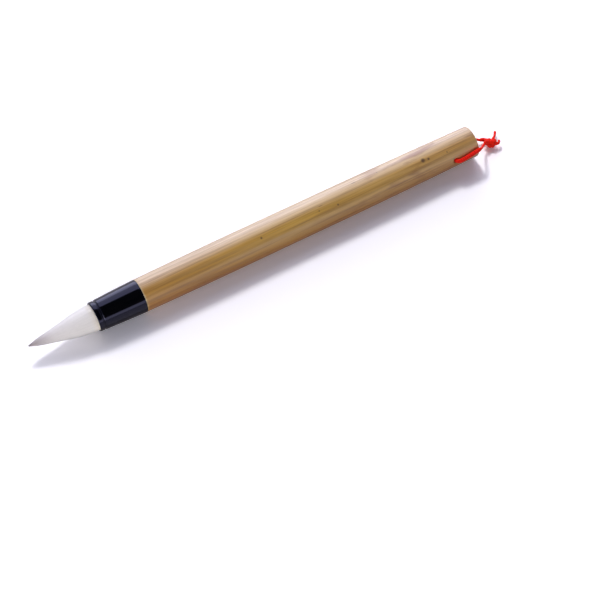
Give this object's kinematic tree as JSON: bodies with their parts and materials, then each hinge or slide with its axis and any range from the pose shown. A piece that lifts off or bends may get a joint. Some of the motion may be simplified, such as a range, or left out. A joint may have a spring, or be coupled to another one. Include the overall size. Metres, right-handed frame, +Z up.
{
  "type": "calligraphy brush",
  "caption": "Large bamboo writing brush with a pale pointed hair tuft in a glossy black tapered ferrule and a knotted red hanging cord through the butt.",
  "frame": {"origin": "under the middle of the brush, on the surface that it lies on", "axes": "+X along the brush from the hair tip to the butt, +Z up, +Y to the side"},
  "size_m": [0.2545, 0.0192, 0.017],
  "materials": {
    "bamboo": "smooth, lightly waxed",
    "black_horn": "polished gloss",
    "rosin": "melted, glassy",
    "binding_thread": "waxed thread",
    "hair": "fine soft hair",
    "red_cord": "soft braided cord"
  },
  "bodies": {
    "brush": {"bamboo_handle": "bamboo", "ferrule": "black_horn", "rosin_plug": "rosin", "root_binding": "binding_thread"},
    "tuft": {"core_hair": "hair", "secondary_hair": "hair", "mantle_hair": "hair"},
    "hanging_loop": {"cord_cross_stretch": "red_cord", "cord_near_strand": "red_cord", "cord_far_strand": "red_cord", "cord_knot": "red_cord"}
  },
  "joints": [
    {"name": "loop_swing", "type": "hinge", "parent": "brush", "child": "hanging_loop", "pos_m": [0.1057, 0, 0.0085], "axis": [0, -0.9659, 0.2588], "range_deg": [-130, 150]},
    {"name": "tuft_bend", "type": "hinge", "parent": "brush", "child": "tuft", "pos_m": [-0.086, 0, 0.0085], "axis": [0, 0, 1], "range_deg": [-30, 30], "stiffness_Nm_per_rad": 0.004, "deforming": ["core_hair", "secondary_hair", "mantle_hair"]}
  ]
}
